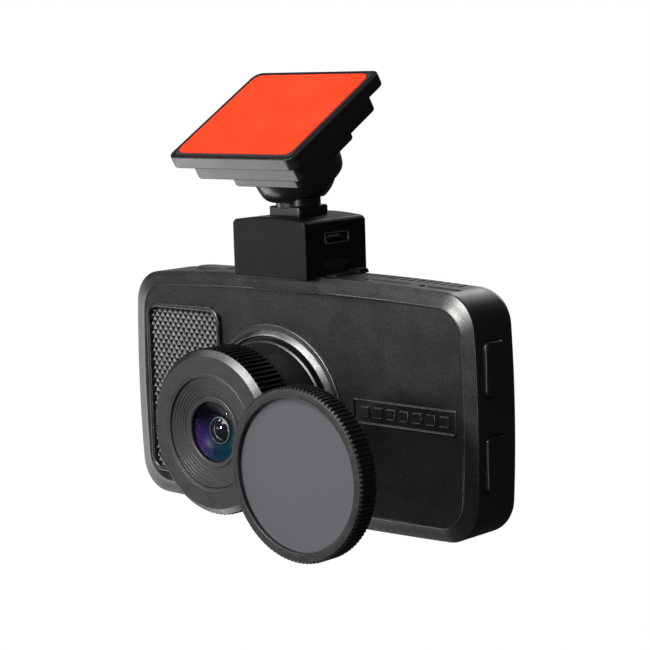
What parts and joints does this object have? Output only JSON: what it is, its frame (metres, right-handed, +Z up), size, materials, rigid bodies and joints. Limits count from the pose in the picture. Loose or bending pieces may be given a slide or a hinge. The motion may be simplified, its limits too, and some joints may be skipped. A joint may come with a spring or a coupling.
{
  "type": "dash camera",
  "caption": "Slim dash camera with a round knurled lens, side keys and top sockets, hung from a stepped adhesive windshield plate by a ball joint, with a clip-on polarising filter beside it.",
  "frame": {"origin": "middle of the adhesive face on the windshield plate", "axes": "+Z up, lens looks along -Y, +X is to the right when facing the lens; camera level, plate sloped 31 degrees from horizontal"},
  "size_m": [0.0968, 0.0432, 0.0929],
  "materials": {
    "front_paint": "satin gunmetal paint with fine metallic flake",
    "case_plastic": "fine moulded texture",
    "mount_plastic": "satin moulded",
    "liner_red": "smooth peel-off film",
    "foam_black": "closed-cell foam",
    "grille_black": "satin, knurled",
    "grip_black": "black anodised, knurled",
    "lens_metal": "black anodised, fine turned",
    "trim_satin": "satin",
    "lens_glass": "coated",
    "filter_glass": "polarising, neutral grey",
    "screen_glass": "gloss black",
    "screw_steel": "plated",
    "socket_steel": "stamped",
    "contact_gold": "gold plated",
    "board_green": "solder mask",
    "ceramic": "fired ceramic",
    "chip_black": "moulded",
    "cell_foil": "foil",
    "spreader_metal": "mill finish",
    "magnet_metal": "nickel plated"
  },
  "bodies": {
    "windshield_plate": {"release_liner": "liner_red", "foam_tape": "foam_black", "mount_plate": "mount_plastic", "base_block": "mount_plastic", "socket_ring": "mount_plastic", "plate_screws": "screw_steel"},
    "friction_cup": {"friction_cup": "mount_plastic"},
    "ball": {"ball": "mount_plastic"},
    "holder": {"holder_housing": "mount_plastic", "holder_base": "mount_plastic", "gps_board": "board_green", "gps_antenna": "ceramic", "usb_socket": "socket_steel", "contact_pins": "contact_gold", "stem": "mount_plastic", "stem_clip": "screw_steel", "stem_screw": "screw_steel", "stem_washer": "screw_steel"},
    "camera": {"front_cover": "front_paint", "rear_shell": "case_plastic", "screen_glass": "screen_glass", "case_screws": "screw_steel", "grille_frame": "grille_black", "grille_plate": "grille_black", "badge": "front_paint", "lens_trim_ring": "trim_satin", "lens_barrel": "lens_metal", "grip_ring": "grip_black", "front_bezel": "lens_metal", "stepped_baffle": "lens_metal", "glass_retainer": "lens_metal", "lens_tube": "lens_metal", "front_glass": "lens_glass", "middle_glass": "lens_glass", "rear_glass": "lens_glass", "image_sensor": "chip_black", "sensor_board": "board_green", "main_board": "board_green", "heat_spreader": "spreader_metal", "display_panel": "screen_glass", "battery": "cell_foil", "speaker": "chip_black", "microphone": "chip_black", "card_socket": "socket_steel", "video_socket": "socket_steel", "upper_switch": "chip_black", "lower_switch": "chip_black", "power_switch": "chip_black", "slide_rail": "case_plastic", "contact_pads": "contact_gold", "rail_screws": "screw_steel"},
    "upper_button": {"upper_button": "case_plastic"},
    "lower_button": {"lower_button": "case_plastic"},
    "power_button": {"power_button": "case_plastic"},
    "memory_card": {"memory_card": "chip_black"},
    "filter_base": {"filter_rear_ring": "lens_metal", "filter_magnet": "magnet_metal"},
    "filter_ring": {"filter_grip_ring": "grip_black", "filter_glass": "filter_glass", "filter_retainer": "lens_metal"}
  },
  "joints": [
    {"name": "ball_tilt", "type": "hinge", "parent": "windshield_plate", "child": "friction_cup", "pos_m": [0, 0.00698, -0.01161], "axis": [1, 0, 0], "range_deg": [-1, 63]},
    {"name": "ball_roll", "type": "hinge", "parent": "friction_cup", "child": "ball", "pos_m": [0, 0.00698, -0.01161], "axis": [0, 1, 0], "range_deg": [-12, 12]},
    {"name": "ball_pan", "type": "hinge", "parent": "ball", "child": "holder", "pos_m": [0, 0.00698, -0.01161], "axis": [0, 0, 1], "continuous": true},
    {"name": "camera_slide", "type": "slide", "parent": "holder", "child": "camera", "axis": [1, 0, 0], "range_m": [0, 0.0185]},
    {"name": "upper_press", "type": "slide", "parent": "camera", "child": "upper_button", "axis": [-1, 0, 0], "range_m": [0, 0.0005], "stiffness_N_per_m": 1000, "springref_m": -0.001},
    {"name": "lower_press", "type": "slide", "parent": "camera", "child": "lower_button", "axis": [-1, 0, 0], "range_m": [0, 0.0005], "stiffness_N_per_m": 1000, "springref_m": -0.001},
    {"name": "power_press", "type": "slide", "parent": "camera", "child": "power_button", "axis": [0, 0, -1], "range_m": [0, 0.0005], "stiffness_N_per_m": 1000, "springref_m": -0.001},
    {"name": "card_slide", "type": "slide", "parent": "camera", "child": "memory_card", "axis": [0, 0, 1], "range_m": [0, 0.016]},
    {"name": "filter_dock", "type": "slide", "parent": "camera", "child": "filter_base", "axis": [-0.9892, 0.0869, 0.1183], "range_m": [0, 0.03129]},
    {"name": "filter_turn", "type": "hinge", "parent": "filter_base", "child": "filter_ring", "pos_m": [0.02815, -0.02382, -0.06771], "axis": [0, 1, 0], "continuous": true}
  ]
}
